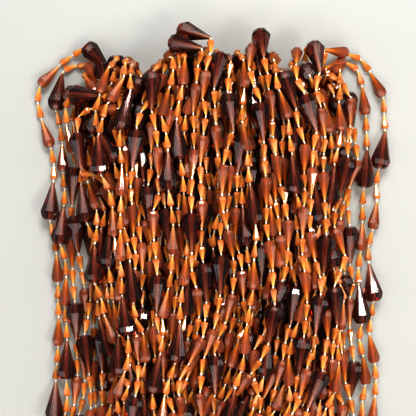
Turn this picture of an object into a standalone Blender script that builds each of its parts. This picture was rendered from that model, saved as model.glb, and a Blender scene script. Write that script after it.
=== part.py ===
"""Bead curtain, lying doubled over on a flat surface.

Sixty-six strands of drop beads hang from one narrow heading tape.  The curtain is shown put down:
its strands run away from the heading, turn over at the fold and come back on top of
themselves, so the bundle is a low heap of straight runs with a row of U-turns at one end.

Each strand is a plain bar of the beads' mean section, and only its root is fused to the tape.
Units are metres, +Z is up, +Y runs from the heading to the fold, and the floor is at z = 0.
"""

import math
import random

import bmesh
import bpy
from mathutils import Vector

# ---------------------------------------------------------------- driving dimensions
HALF_LENGTH = 0.475            # bundle, from its middle to the fold or to the heading's edge
STRAND_LENGTH = 1.80           # root to free end, the same on every strand
STRAND_WIDTH = 0.0076          # side of the square bar that holds a strand's volume of beads
ROOT_WIDTH = 0.0020            # knotted string where it enters the tape

COLUMN_PITCH = 0.0112          # between neighbouring strands, across the bundle
STRANDS_IN_COLUMN = (1, 1, 2, 2, 3, 3, 3, 3, 3, 3, 3, 3, 3)     # from either side to the middle
ROW_PITCH = 0.0092             # between rows, away from the fold
FOLD_ROW_PITCH = 0.0108        # between rows at the fold, where the heap is highest
FOLD_HEAP_REACH = 0.18         # how far from the fold that extra height lasts

FOLD_DOME = 0.012              # how much further the fold reaches in the middle than at the sides
FOLD_UNEVEN = 0.004            # most that a pair of columns falls short of that line
SIDE_FOLD_BACK = 0.006         # how far the side loops stay behind the furthest fold
FAN_OUT = 0.22                 # share by which the upper runs spread sideways from the fold on
FAN_START = 0.030              # distance from the furthest fold where that begins
FAN_REACH = 0.053              # and over which it happens
FAN_CLOSING = 0.05             # share by which they close in again after it
FAN_CLOSING_REACH = 0.12       # over this further distance
# The spread upper runs sink where fewer lower runs lie beneath them.
TWO_DEEP_FROM = 0.1047         # distance from the middle where three lower rows give way to two
ONE_DEEP_FROM = 0.1310         # and where two give way to one
SINK_REACH = 0.008             # each over this distance
ROW_SWAY = 0.012               # side to side drift of a whole row of upper runs, in the middle
SWAY_CORE = 0.020              # distance from the middle where the drift starts to die out
SWAY_FADE = 0.060              # and over which it does
SWAY_LENGTH = 0.36             # of that drift's wave in the lowest row
SWAY_LENGTH_STEP = 0.05        # longer by this much in each row above
SWAY_PHASE_STEP = 1.9          # radians that each row's wave is ahead of the one below
WAVE = 0.0009                  # each upper run's own small wander
CALM = 0.10                    # length over which sways grow from the fold on

TAPE_HEIGHT = 0.025            # heading tape, along Y
TAPE_THICKNESS = 0.003
TAPE_LAYER_PITCH = 0.005       # three layers, 2 mm apart
TAPE_TURNS = (-0.150, 0.150, -0.128, 0.104)    # x of the tape's start, two bends and end
TAPE_BEND_STEPS = 4            # straight pieces in a bend of the tape
ROOT_DEPTH = 0.008             # of a strand's root inside the tape
ROOT_TAPER = 0.055             # length over which a strand narrows to its root

LOWER_STEP = 0.21              # between the bar's sections in the runs underneath
UPPER_STEP = 0.105             # between the bar's sections in the runs on top, after the fan
TURN_STEPS = 4                 # straight pieces in a U-turn

# The strands of the two columns at each side turn flat on the floor, one loop round another,
# and come back outside the bundle, also on the floor.
SIDE_COLUMNS = 2
SIDE_NEAREST = 0.1440          # least distance from the middle of the innermost of their runs
SIDE_PITCH = 0.0095            # least distance between them
SIDE_SHARES = (0.60, 1.00)     # of the outer run's bow that each one follows
# The bow of the outermost run on each side.
# Columns: distance back from the loop's middle, then distance from the middle on each side.
SIDE_ROWS = (
    # back   left    right
    (0.000, 0.1680, 0.1660),
    (0.027, 0.1795, 0.1755),
    (0.052, 0.1740, 0.1770),
    (0.072, 0.1635, 0.1795),
    (0.112, 0.1580, 0.1670),
    (0.140, 0.1570, 0.1705),
    (0.187, 0.1545, 0.1575),
    (0.240, 0.1535, 0.1535),
    (0.267, 0.1560, 0.1580),
    (0.310, 0.1535, 0.1700),
    (0.380, 0.1560, 0.1600),
    (0.560, 0.1535, 0.1640),
    (0.900, 0.1570, 0.1550),
)

ACRYLIC = {"color": (0.23, 0.045, 0.014, 1.0), "roughness": 0.16, "metallic": 0.0}
SEED = 11

# ---------------------------------------------------------------- worked out from them
COLUMN_STRANDS = STRANDS_IN_COLUMN + STRANDS_IN_COLUMN[::-1]
COLUMN_COUNT = len(COLUMN_STRANDS)
ROW_COUNT = 2 * max(COLUMN_STRANDS)
FLOOR_ROW_Z = STRAND_WIDTH / 2
BEND_FACE = STRAND_WIDTH / 2 / math.cos(math.pi / TURN_STEPS / 2)   # centre line to face at a mitre
HEADING_Y = -HALF_LENGTH + TAPE_HEIGHT


def smooth(value):
    """0 to 1 with level ends."""
    t = min(max(value, 0.0), 1.0)
    return t * t * (3 - 2 * t)


def column_x(column):
    return (column - (COLUMN_COUNT - 1) / 2) * COLUMN_PITCH


def turn_line():
    """Y where each column's U-turns start: a dome of uneven pairs of columns."""
    rng = random.Random(SEED)
    half = abs(column_x(0))
    reach = []
    for column in range(0, COLUMN_COUNT, 2):
        across = (column_x(column) + column_x(column + 1)) / 2 / half
        reach += [-FOLD_DOME * across ** 2 - rng.uniform(0, FOLD_UNEVEN)] * 2
    depth = (ROW_COUNT - 1) * FOLD_ROW_PITCH / 2 + BEND_FACE
    return [HALF_LENGTH - depth + value - max(reach) for value in reach]


def fan(y):
    """Share of its column's place that an upper run keeps to, the same across the bundle."""
    down = HALF_LENGTH - FAN_START - y
    out = FAN_OUT * min(max(down / FAN_REACH, 0), 1)
    return 1 + out - FAN_CLOSING * min(max((down - FAN_REACH) / FAN_CLOSING_REACH, 0), 1)


def row_pitch(back):
    """Height of a row at a distance back from the fold."""
    return ROW_PITCH + (FOLD_ROW_PITCH - ROW_PITCH) * (1 - smooth(back / FOLD_HEAP_REACH))


def side_distance(back, side, index):
    """Distance from the middle of a side's run, 0 for the innermost, eased between the table's rows."""
    pick = 1 if side < 0 else 2
    outer = SIDE_ROWS[-1][pick]
    for near, far in zip(SIDE_ROWS, SIDE_ROWS[1:]):
        if back <= far[0]:
            outer = near[pick] + (far[pick] - near[pick]) * smooth((back - near[0]) / (far[0] - near[0]))
            break
    bow = outer - SIDE_NEAREST - (SIDE_COLUMNS - 1) * SIDE_PITCH
    return SIDE_NEAREST + index * SIDE_PITCH + bow * SIDE_SHARES[index]


def row_drift(row, back, x):
    """Sideways drift that a whole row of upper runs shares, so its strands never meet."""
    angle = math.tau * back / (SWAY_LENGTH + SWAY_LENGTH_STEP * row) + SWAY_PHASE_STEP * row
    share = 1 - smooth((abs(x) - SWAY_CORE) / SWAY_FADE)
    return ROW_SWAY * share * math.sin(angle) * smooth(back / CALM)


def lower_run(x, z, root_z, y_turn):
    """From the root in the tape, up on to the strand's row and straight along to its turn."""
    points = [
        (Vector((x, HEADING_Y - ROOT_DEPTH, root_z)), ROOT_WIDTH),
        (Vector((x, HEADING_Y + ROOT_DEPTH, root_z)), ROOT_WIDTH),
        (Vector((x, HEADING_Y + ROOT_TAPER, z(y_turn - HEADING_Y))), STRAND_WIDTH),
    ]
    start = HEADING_Y + ROOT_TAPER
    count = round((y_turn - start) / LOWER_STEP)
    for index in range(1, count):
        y = start + (y_turn - start) * index / count
        points.append((Vector((x, y, z(y_turn - y))), STRAND_WIDTH))
    return points


def half_circle(start, end, radius, lean=0.0):
    """Turn from the lower run's end to the upper run's start.

    Lean moves the turn's end sideways.  Its first piece has none, so the bar's foot stays level.
    """
    points = []
    first_share = (1 - math.cos(math.pi / TURN_STEPS)) / 2
    for index in range(TURN_STEPS + 1):
        angle = math.pi * index / TURN_STEPS
        share = (1 - math.cos(angle)) / 2
        leaning = lean * max(0.0, share - first_share) / (1 - first_share)
        place = start.lerp(end, share)
        place += Vector((leaning, radius * math.sin(angle), 0))
        points.append((place, STRAND_WIDTH))
    return points


def cut_to_length(points, run_point, stations):
    """Adds the run back from the fold, and ends it where the strand's length is used up."""
    travelled = sum((b[0] - a[0]).length for a, b in zip(points, points[1:]))
    for back in stations:
        if travelled >= STRAND_LENGTH:
            break
        here, ahead = points[-1][0], run_point(back)
        piece = (ahead - here).length
        share = min(1.0, (STRAND_LENGTH - travelled) / piece)
        points.append((here.lerp(ahead, share), STRAND_WIDTH))
        travelled += piece
    return points


def side_route(column):
    """Strand of a side column: everything on the floor, with its loop and bow lying flat."""
    x = column_x(column)
    side = math.copysign(1, x)
    index = min(column, COLUMN_COUNT - 1 - column)
    outer_x = column_x(SIDE_COLUMNS - 1 if side < 0 else COLUMN_COUNT - SIDE_COLUMNS)
    outer_radius = (side_distance(0, side, SIDE_COLUMNS - 1) - abs(outer_x)) / 2
    y_turn = HALF_LENGTH - SIDE_FOLD_BACK - outer_radius - BEND_FACE
    radius = (side_distance(0, side, index) - abs(x)) / 2
    points = lower_run(x, lambda back: FLOOR_ROW_Z, TAPE_THICKNESS / 2, y_turn)
    start = Vector((x, y_turn, FLOOR_ROW_Z))
    points += half_circle(start, start + Vector((2 * side * radius, 0, 0)), radius)

    def run_point(back):
        return Vector((side * side_distance(back, side, index), y_turn - back, FLOOR_ROW_Z))

    stations = []
    for near, far in zip(SIDE_ROWS, SIDE_ROWS[1:]):
        stations += [(near[0] + far[0]) / 2, far[0]]
    return cut_to_length(points, run_point, stations)


def rows_beneath(across):
    """Lower rows that an upper run rests on at a distance from the middle."""
    two_deep = smooth((ONE_DEEP_FROM + SINK_REACH - across) / SINK_REACH)
    three_deep = smooth((TWO_DEEP_FROM + SINK_REACH - across) / SINK_REACH)
    return 1 + two_deep + three_deep


def stacked_route(column, rank, y_turn, wander):
    """Strand of a column; rank 0 lies on the floor and turns round the others."""
    strands = COLUMN_STRANDS[column]
    x = column_x(column)
    upper_row = 2 * strands - 1 - rank

    def row_z(row):
        return lambda back: FLOOR_ROW_Z + row * row_pitch(back)

    root_z = TAPE_THICKNESS / 2 + rank * TAPE_LAYER_PITCH
    points = lower_run(x, row_z(rank), root_z, y_turn)
    start = Vector((x, y_turn, row_z(rank)(0)))
    end = Vector((x, y_turn, row_z(upper_row)(0)))
    points += half_circle(start, end, (upper_row - rank) * FOLD_ROW_PITCH / 2, x * fan(y_turn) - x)

    def run_point(back):
        y = y_turn - back
        across = x * fan(y)
        row = min(upper_row, upper_row - strands + rows_beneath(abs(across)))
        across += row_drift(upper_row, back, x) + wander(y) * smooth(back / CALM)
        return Vector((across, y, row_z(row)(back)))

    fan_end = FAN_START + FAN_REACH - (HALF_LENGTH - y_turn)
    count = math.ceil(STRAND_LENGTH / UPPER_STEP)
    return cut_to_length(points, run_point, [fan_end + UPPER_STEP * index for index in range(count)])


def strand_route(column, rank, y_turn, rng):
    """Points and widths of one strand, root first."""
    wave_length = rng.uniform(0.16, 0.26)
    wave_phase = rng.uniform(0, math.tau)

    def wander(y):
        return WAVE * math.sin(math.tau * y / wave_length + wave_phase)

    if COLUMN_STRANDS[column] == 1:
        return side_route(column)
    return stacked_route(column, rank, y_turn, wander)


def add_bar(shell, route, level):
    """Sweeps a square section along a route, mitred at its bends, and closes both ends."""
    rings = []
    for index, (place, width) in enumerate(route):
        before = (place - route[max(index - 1, 0)][0]).normalized()
        after = (route[min(index + 1, len(route) - 1)][0] - place).normalized()
        ahead = (before + after).normalized()
        side = (Vector((0, 0, 1)).cross(ahead) if level else Vector((1, 0, 0))).normalized()
        side = (side - ahead * side.dot(ahead)).normalized()
        rise = ahead.cross(side)
        bend = after - before
        stretch = 0.0
        if before.length and after.length and bend.length > 1e-6:
            stretch = 1 / math.cos(before.angle(after) / 2) - 1
            bend.normalize()
        ring = []
        for across, up in ((-1, -1), (1, -1), (1, 1), (-1, 1)):
            corner = (side * across + rise * up) * width / 2
            corner += bend * corner.dot(bend) * stretch
            ring.append(shell.verts.new(place + corner))
        rings.append(ring)
    for near, far in zip(rings, rings[1:]):
        for corner in range(4):
            following = (corner + 1) % 4
            shell.faces.new((near[corner], near[following], far[following], far[corner]))
    shell.faces.new(rings[0][::-1])
    shell.faces.new(rings[-1])


def add_strands(collection):
    """All strands in one mesh of separate square bars, each with a flat side down."""
    rng = random.Random(SEED + 1)
    shell = bmesh.new()
    turns = turn_line()
    for column in range(COLUMN_COUNT):
        for rank in range(COLUMN_STRANDS[column]):
            route = strand_route(column, rank, turns[column], rng)
            add_bar(shell, route, level=COLUMN_STRANDS[column] == 1)
    bmesh.ops.recalc_face_normals(shell, faces=shell.faces)
    mesh = bpy.data.meshes.new("strands")
    shell.to_mesh(mesh)
    shell.free()
    obj = bpy.data.objects.new("strands", mesh)
    collection.objects.link(obj)
    return obj


def tape_section():
    """The tape seen end on: three layers, back and forth, joined by two round bends."""
    radius = TAPE_LAYER_PITCH / 2
    z = TAPE_THICKNESS / 2
    section = [(TAPE_TURNS[0], z)]
    for turn, x in enumerate(TAPE_TURNS[1:-1]):
        outward = 1 if turn % 2 == 0 else -1
        for step in range(TAPE_BEND_STEPS + 1):
            angle = -math.pi / 2 + math.pi * step / TAPE_BEND_STEPS
            section.append((x + outward * radius * math.cos(angle), z + radius + radius * math.sin(angle)))
        z += TAPE_LAYER_PITCH
    section.append((TAPE_TURNS[-1], z))
    return section


def add_heading(collection, strands):
    """Heading tape: its section drawn out along Y, thickened, with the strands' roots fused in."""
    mesh = bpy.data.meshes.new("curtain")
    sheet = bmesh.new()
    back_row = [sheet.verts.new((x, -HALF_LENGTH, z)) for x, z in tape_section()]
    edges = [sheet.edges.new(pair) for pair in zip(back_row, back_row[1:])]
    grown = bmesh.ops.extrude_edge_only(sheet, edges=edges)["geom"]
    new_verts = [item for item in grown if isinstance(item, bmesh.types.BMVert)]
    bmesh.ops.translate(sheet, vec=(0, TAPE_HEIGHT, 0), verts=new_verts)
    sheet.to_mesh(mesh)
    sheet.free()
    obj = bpy.data.objects.new("curtain", mesh)
    collection.objects.link(obj)
    solidify = obj.modifiers.new("tape_thickness", "SOLIDIFY")
    solidify.thickness = TAPE_THICKNESS
    solidify.offset = 0.0
    solidify.use_even_offset = True
    fuse = obj.modifiers.new("fuse_roots", "BOOLEAN")
    fuse.operation = "UNION"
    fuse.object = strands
    return obj


def add_material(obj, name, look):
    material = bpy.data.materials.new(name)
    material.use_nodes = True
    shader = material.node_tree.nodes["Principled BSDF"]
    shader.inputs["Base Color"].default_value = look["color"]
    shader.inputs["Roughness"].default_value = look["roughness"]
    shader.inputs["Metallic"].default_value = look["metallic"]
    obj.data.materials.append(material)


def new_collection(name):
    collection = bpy.data.collections.new(name)
    bpy.context.scene.collection.children.link(collection)
    return collection


def main():
    for obj in list(bpy.data.objects):
        bpy.data.objects.remove(obj)
    parts = new_collection("bead_curtain")
    helpers = new_collection("helpers")
    strands = add_strands(helpers)
    strands.hide_render = True
    strands.display_type = "WIRE"
    curtain = add_heading(parts, strands)
    add_material(curtain, "amber_acrylic", ACRYLIC)
    add_material(strands, "amber_acrylic", ACRYLIC)


main()
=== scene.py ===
# %% [markdown]
# # A bead curtain, put down and folded over
#
# The real object is a door curtain: sixty-six cotton strings, each threaded with faceted acrylic drop
# beads in three sizes and knotted after every bead, all tied into one narrow tape.  Here it lies on
# a pale floor.  The strings run away from the tape, turn over at the fold and come back on top.
#
# The script first loads the plain solid of the curtain, then works out where each bead lies, and
# last gives every bead, knot, string and the tape its shape and finish.

# %% Imports and the fixed frame
import math
import random

import bmesh
import bpy
import numpy as np
from mathutils import Matrix, Vector


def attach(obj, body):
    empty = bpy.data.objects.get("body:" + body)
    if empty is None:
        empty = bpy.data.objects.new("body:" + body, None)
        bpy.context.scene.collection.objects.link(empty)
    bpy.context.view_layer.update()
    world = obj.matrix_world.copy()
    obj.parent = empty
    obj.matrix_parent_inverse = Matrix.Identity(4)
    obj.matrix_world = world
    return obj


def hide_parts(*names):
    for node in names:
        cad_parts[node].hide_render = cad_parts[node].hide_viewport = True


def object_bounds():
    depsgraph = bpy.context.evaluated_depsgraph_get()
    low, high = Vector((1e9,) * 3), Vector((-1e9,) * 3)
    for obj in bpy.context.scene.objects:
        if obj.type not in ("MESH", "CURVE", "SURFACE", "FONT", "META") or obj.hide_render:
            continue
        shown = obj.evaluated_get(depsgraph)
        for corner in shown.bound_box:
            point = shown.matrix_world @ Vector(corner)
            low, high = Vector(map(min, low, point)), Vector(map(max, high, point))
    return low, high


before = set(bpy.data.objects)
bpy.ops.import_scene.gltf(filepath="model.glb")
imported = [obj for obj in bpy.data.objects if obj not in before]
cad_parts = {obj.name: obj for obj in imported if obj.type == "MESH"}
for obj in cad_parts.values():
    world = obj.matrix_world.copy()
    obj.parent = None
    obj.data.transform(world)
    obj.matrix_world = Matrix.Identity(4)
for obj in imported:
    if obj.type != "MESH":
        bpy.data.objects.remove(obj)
CAD_LOW, CAD_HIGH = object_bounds()
MM = 0.001
print("frame nodes:", sorted(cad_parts), "box:", [round(v, 4) for v in (*CAD_LOW, *CAD_HIGH)])

# %% [markdown]
# ## Sizes
#
# All three beads are one shape at three sizes.  A table with named columns keeps them together:
# length and width in millimetres, and the number of facets round the bead.  A strand repeats one
# large bead and then a few groups of two small beads and a middle one.  The lay of the strands
# (columns, rows, fold) uses the same driving sizes as the plain solid, so the beads land where the
# solid is.

# %% Driving sizes
BEADS = {
    #          length  width  facets
    "large": (38.0, 20.0, 8),
    "middle": (27.5, 12.6, 7),
    "small": (13.4, 7.6, 6),
}
GROUPS_BETWEEN_LARGE = (2, 2, 3, 3)     # one of these is drawn after each large bead
GROUPS_AT_THE_SIDES = (1, 1, 2, 2)      # and one of these near the sides, where more large beads lie
DARK_SIDES = 5                          # columns on each side that are near it
KNOT_GAP = (2.7 * MM, 4.1 * MM)         # bare string and knot between two beads
STRING_RADIUS = 0.5 * MM
# Radius of the bore at the bead's tip and at its base, in millimetres.
BORES = {"large": (0.9, 2.2), "middle": (0.8, 1.5), "small": (0.8, 1.1)}
BARE_ROOT = 24 * MM                     # least string between the tape and the first bead
TAIL = 12 * MM                          # string and knot after the last bead

HALF_LENGTH = CAD_HIGH.y
STRAND_LENGTH = 1.80
BAR_WIDTH = 7.6 * MM
COLUMN_PITCH = 11.2 * MM
STRANDS_IN_COLUMN = (1, 1, 2, 2, 3, 3, 3, 3, 3, 3, 3, 3, 3)
ROW_PITCH = 9.2 * MM
FOLD_ROW_PITCH = 10.8 * MM
FOLD_HEAP_REACH = 0.18
FOLD_DOME = 0.012
FAN_OUT = 0.22                          # share by which the upper runs spread past the fold
FAN_START = 0.030
FAN_REACH = 0.053
FAN_CLOSING = 0.05
FAN_CLOSING_REACH = 0.12
TWO_DEEP_FROM = 0.1047                  # where three lower rows give way to two
ONE_DEEP_FROM = 0.1310                  # and two to one
SINK_REACH = 8 * MM
TAPE_HEIGHT = 25 * MM
TAPE_THICKNESS = 3 * MM
TAPE_LAYER_PITCH = 5 * MM
TAPE_TURNS = (-0.150, 0.150, -0.128, 0.104)
SIDE_COLUMNS = 2
SIDE_NEAREST = 0.1440
SIDE_PITCH = 9.5 * MM
SIDE_SHARES = (0.60, 1.00)
SIDE_ROWS = (
    # back   left    right      distances from the middle of the outer strand on each side
    (0.000, 0.1680, 0.1660),
    (0.027, 0.1795, 0.1755),
    (0.052, 0.1740, 0.1770),
    (0.072, 0.1635, 0.1795),
    (0.112, 0.1580, 0.1670),
    (0.140, 0.1570, 0.1705),
    (0.187, 0.1545, 0.1575),
    (0.240, 0.1535, 0.1535),
    (0.267, 0.1560, 0.1580),
    (0.310, 0.1535, 0.1700),
    (0.380, 0.1560, 0.1600),
    (0.560, 0.1535, 0.1640),
    (0.900, 0.1570, 0.1550),
)
COLUMN_STRANDS = STRANDS_IN_COLUMN + STRANDS_IN_COLUMN[::-1]
COLUMN_COUNT = len(COLUMN_STRANDS)
HEADING_Y = -HALF_LENGTH + TAPE_HEIGHT
print(sum(COLUMN_STRANDS), "strands of", STRAND_LENGTH, "m in", COLUMN_COUNT, "columns")

# %% [markdown]
# ## The lay of the strands
#
# Every strand starts as a smooth line: along the floor from the tape, round a U-turn at the fold and
# back on top.  It could be drawn by hand for each strand, but sixty-six of them follow one rule that
# a function states in a few lines.  A line that is only computed looks combed, so the upper runs also
# stray sideways, more so towards the heading, where the real strands slant and cross, and the few
# strands that stand out by themselves have their own points.

# %% Helpers for the lines
SECOND_WAVE = 0.45             # length of the second sine, as a share of its own draw
WAVE_HEIGHTS = (0.75, 0.35)


def smooth(value):
    """0 to 1 with level ends."""
    t = min(max(value, 0.0), 1.0)
    return t * t * (3 - 2 * t)


def column_x(column):
    return (column - (COLUMN_COUNT - 1) / 2) * COLUMN_PITCH


def side_distance(back, side, index):
    """Distance from the middle of a side's run, 0 for the innermost, eased between the table's rows."""
    pick = 1 if side < 0 else 2
    outer = SIDE_ROWS[-1][pick]
    for near, far in zip(SIDE_ROWS, SIDE_ROWS[1:]):
        if back <= far[0]:
            outer = near[pick] + (far[pick] - near[pick]) * smooth((back - near[0]) / (far[0] - near[0]))
            break
    bow = outer - SIDE_NEAREST - (SIDE_COLUMNS - 1) * SIDE_PITCH
    return SIDE_NEAREST + index * SIDE_PITCH + bow * SIDE_SHARES[index]


def wave(rng, shortest, longest):
    """A sum of two slow sines of random length and phase, about 1 high."""
    lengths = [rng.uniform(shortest, longest), rng.uniform(shortest, longest) * SECOND_WAVE]
    phases = [rng.uniform(0, math.tau) for _ in lengths]
    return lambda s: sum(
        share * math.sin(math.tau * s / length + phase)
        for share, length, phase in zip(WAVE_HEIGHTS, lengths, phases)
    )


# %% How the runs stray
FOLD_UNEVEN = 0.012            # most that a strand's turn stays behind the others'
CROSS_OVER = 9 * MM            # most that an upper run comes back beside its own lower run
LOWER_STRAY = 3 * MM           # sideways stray of the runs on the floor
LOWER_CALM = 0.1               # which lie straight over this distance from the tape and the turn
UPPER_LIFT = 2 * MM            # slow rise and fall of the upper runs
STRAY_NEAR = 4 * MM            # sideways stray of the upper runs in the straight part
STRAY_FAR = 15 * MM            # and beyond it, where they slant and cross
STRAY_FOLD = 6 * MM            # and at the fold, where the beads ride over each other
STRAY_START = 0.21             # distance from the fold where that begins
STRAY_REACH = 0.10
STRAY_IN = 0.06                # distances past the turn over which the strays set in
ASIDE_IN = 0.10
ROW_IN = 0.04                  # and over which a run comes down to the rows beneath it
FOLD_STRAY_OUT = 0.12          # and over which the fold's own stray fades out
STRAY_WAVES = (0.14, 0.36)     # shortest and longest wave of the strays along a run
FOLD_WAVES = (0.07, 0.12)      # round the fold
LIFT_WAVES = (0.15, 0.3)       # and up and down
SIDE_LIMIT = 0.156             # least distance from the middle at which only the side strands lie
ROOT_STUB = 5 * MM             # string before and past the tape's edge
FIRST_POINT = 0.05             # from the tape's edge to the first point of a run
LINE_STEP = 8 * MM
TURN_STEPS = 12
RUN_BACK = 1.1                 # longer than any upper run, so that no strand runs out of line
DETOUR_RISE = 0.7              # rows by which a strand that crosses others lies higher
# Places where the upper runs lean to one side together, as they do where the heap was pushed.
LEANS = (
    # across   from    to    slope  width
    (-0.125, 0.045, 0.130, 0.40, 0.030),
    (0.060, 0.080, 0.200, 0.12, 0.050),
    (0.135, 0.090, 0.150, -0.25, 0.025),
    (-0.120, 0.235, 0.320, 0.32, 0.028),
    (0.050, 0.235, 0.400, -0.34, 0.055),
    (-0.020, 0.280, 0.400, -0.16, 0.040),
    (0.140, 0.250, 0.380, 0.22, 0.025),
)
LEANS_END = (0.42, 0.20)       # where the strands come back to their places, and over what distance
# Where the fold reaches further than its dome, as bundles of strands ride up over each other.
FOLD_BUMPS = (
    # across  reach  width
    (-0.018, 0.022, 0.015),
    (0.048, 0.016, 0.010),
    (0.098, 0.008, 0.012),
    (0.018, -0.010, 0.012),
    (-0.060, -0.010, 0.020),
    (0.072, -0.006, 0.008),
)

# %% Strands with ways of their own
# Two strands at the left are pulled across the others just past the fold, before they run on.
DETOURS = {
    # (column, rank): places in millimetres from the middle and back from the furthest fold
    (2, 0): ((-98, 62), (-106, 54), (-136, 50), (-147, 62), (-146, 80), (-142, 110)),
    (3, 0): ((-88, 66), (-93, 71), (-127, 69), (-135, 79), (-134, 98), (-130, 135)),
}
# The side strands come out of the heap and pass over its corner before they run down beside it,
# and two strands in the middle cross over each other along the edge of the fold.
LOOPS = {
    # (column, rank): millimetres from the middle, back from the furthest fold, and up
    (0, 0): (
        (-136, 60, 6), (-126, 52, 16), (-112, 44, 24), (-105, 34, 26), (-111, 25, 24),
        (-127, 23, 16), (-140, 23, 9), (-150, 26, 6),
    ),
    (1, 0): (
        (-127, 52, 6), (-118, 44, 14), (-107, 34, 24), (-101, 22, 30), (-106, 13, 30),
        (-116, 10, 27), (-130, 10, 20), (-142, 13, 12), (-152, 19, 7), (-160, 27, 4),
    ),
    (11, 0): (
        (-20, 44, 5), (-34, 28, 12), (-42, 14, 28), (-40, 6, 42),
        (-34, 4, 50), (-8, 6, 56), (-6, 16, 60),
    ),
    (12, 0): (
        (-12, 34, 5), (-24, 16, 12), (-33, 1, 24), (-37, -6, 36),
        (-33, -8, 44), (-6, -6, 52), (-1, 2, 57), (0, 14, 60),
    ),
    (24, 0): (
        (127, 52, 6), (121, 40, 16), (114, 24, 28), (112, 12, 32), (118, 5, 32),
        (130, 11, 24), (144, 12, 14), (155, 18, 7), (161, 28, 4),
    ),
    (25, 0): (
        (136, 62, 6), (128, 52, 16), (116, 42, 24), (112, 30, 28), (118, 20, 26),
        (132, 19, 18), (145, 22, 9), (153, 30, 5),
    ),
}
# Strands that go up round the fold beside their place and cross back along its edge.
SWINGS = {
    # (column, rank): how far beside, and over what distance back
    (3, 1): (-0.020, 0.030),
    (7, 0): (0.018, 0.030),
    (19, 0): (-0.016, 0.030),
    (22, 0): (0.014, 0.030),
}
print(len(LOOPS) + len(DETOURS) + len(SWINGS), "strands with ways of their own")


# %% Where the upper runs go
def fan(y):
    """Share of its column's place that an upper run keeps to."""
    down = HALF_LENGTH - FAN_START - y
    out = FAN_OUT * min(max(down / FAN_REACH, 0), 1)
    return 1 + out - FAN_CLOSING * min(max((down - FAN_REACH) / FAN_CLOSING_REACH, 0), 1)


def rows_beneath(across):
    """Lower rows that an upper run rests on at a distance from the middle."""
    two_deep = smooth((ONE_DEEP_FROM + SINK_REACH - across) / SINK_REACH)
    three_deep = smooth((TWO_DEEP_FROM + SINK_REACH - across) / SINK_REACH)
    return 1 + two_deep + three_deep


def leaning(across, back):
    """Sideways shift of an upper run that all its neighbours share."""
    shift = sum(
        slope * min(max(back - start, 0.0), end - start) * math.exp(-(((across - place) / width) ** 2))
        for place, start, end, slope, width in LEANS
    )
    return shift * (1 - smooth((back - LEANS_END[0]) / LEANS_END[1]))


def turn_y(column, rng):
    """Where the strands of a column start their U-turn."""
    x = column_x(column)
    if COLUMN_STRANDS[column] == 1:
        return HALF_LENGTH - LOOPS[column, 0][-1][1] * MM
    reach = -FOLD_DOME * (x / column_x(0)) ** 2 - rng.uniform(0, FOLD_UNEVEN)
    reach += sum(bump * math.exp(-(((x - place) / width) ** 2)) for place, bump, width in FOLD_BUMPS)
    return HALF_LENGTH + reach - (2 * max(COLUMN_STRANDS) - 1) * FOLD_ROW_PITCH / 2 - BAR_WIDTH / 2


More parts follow.
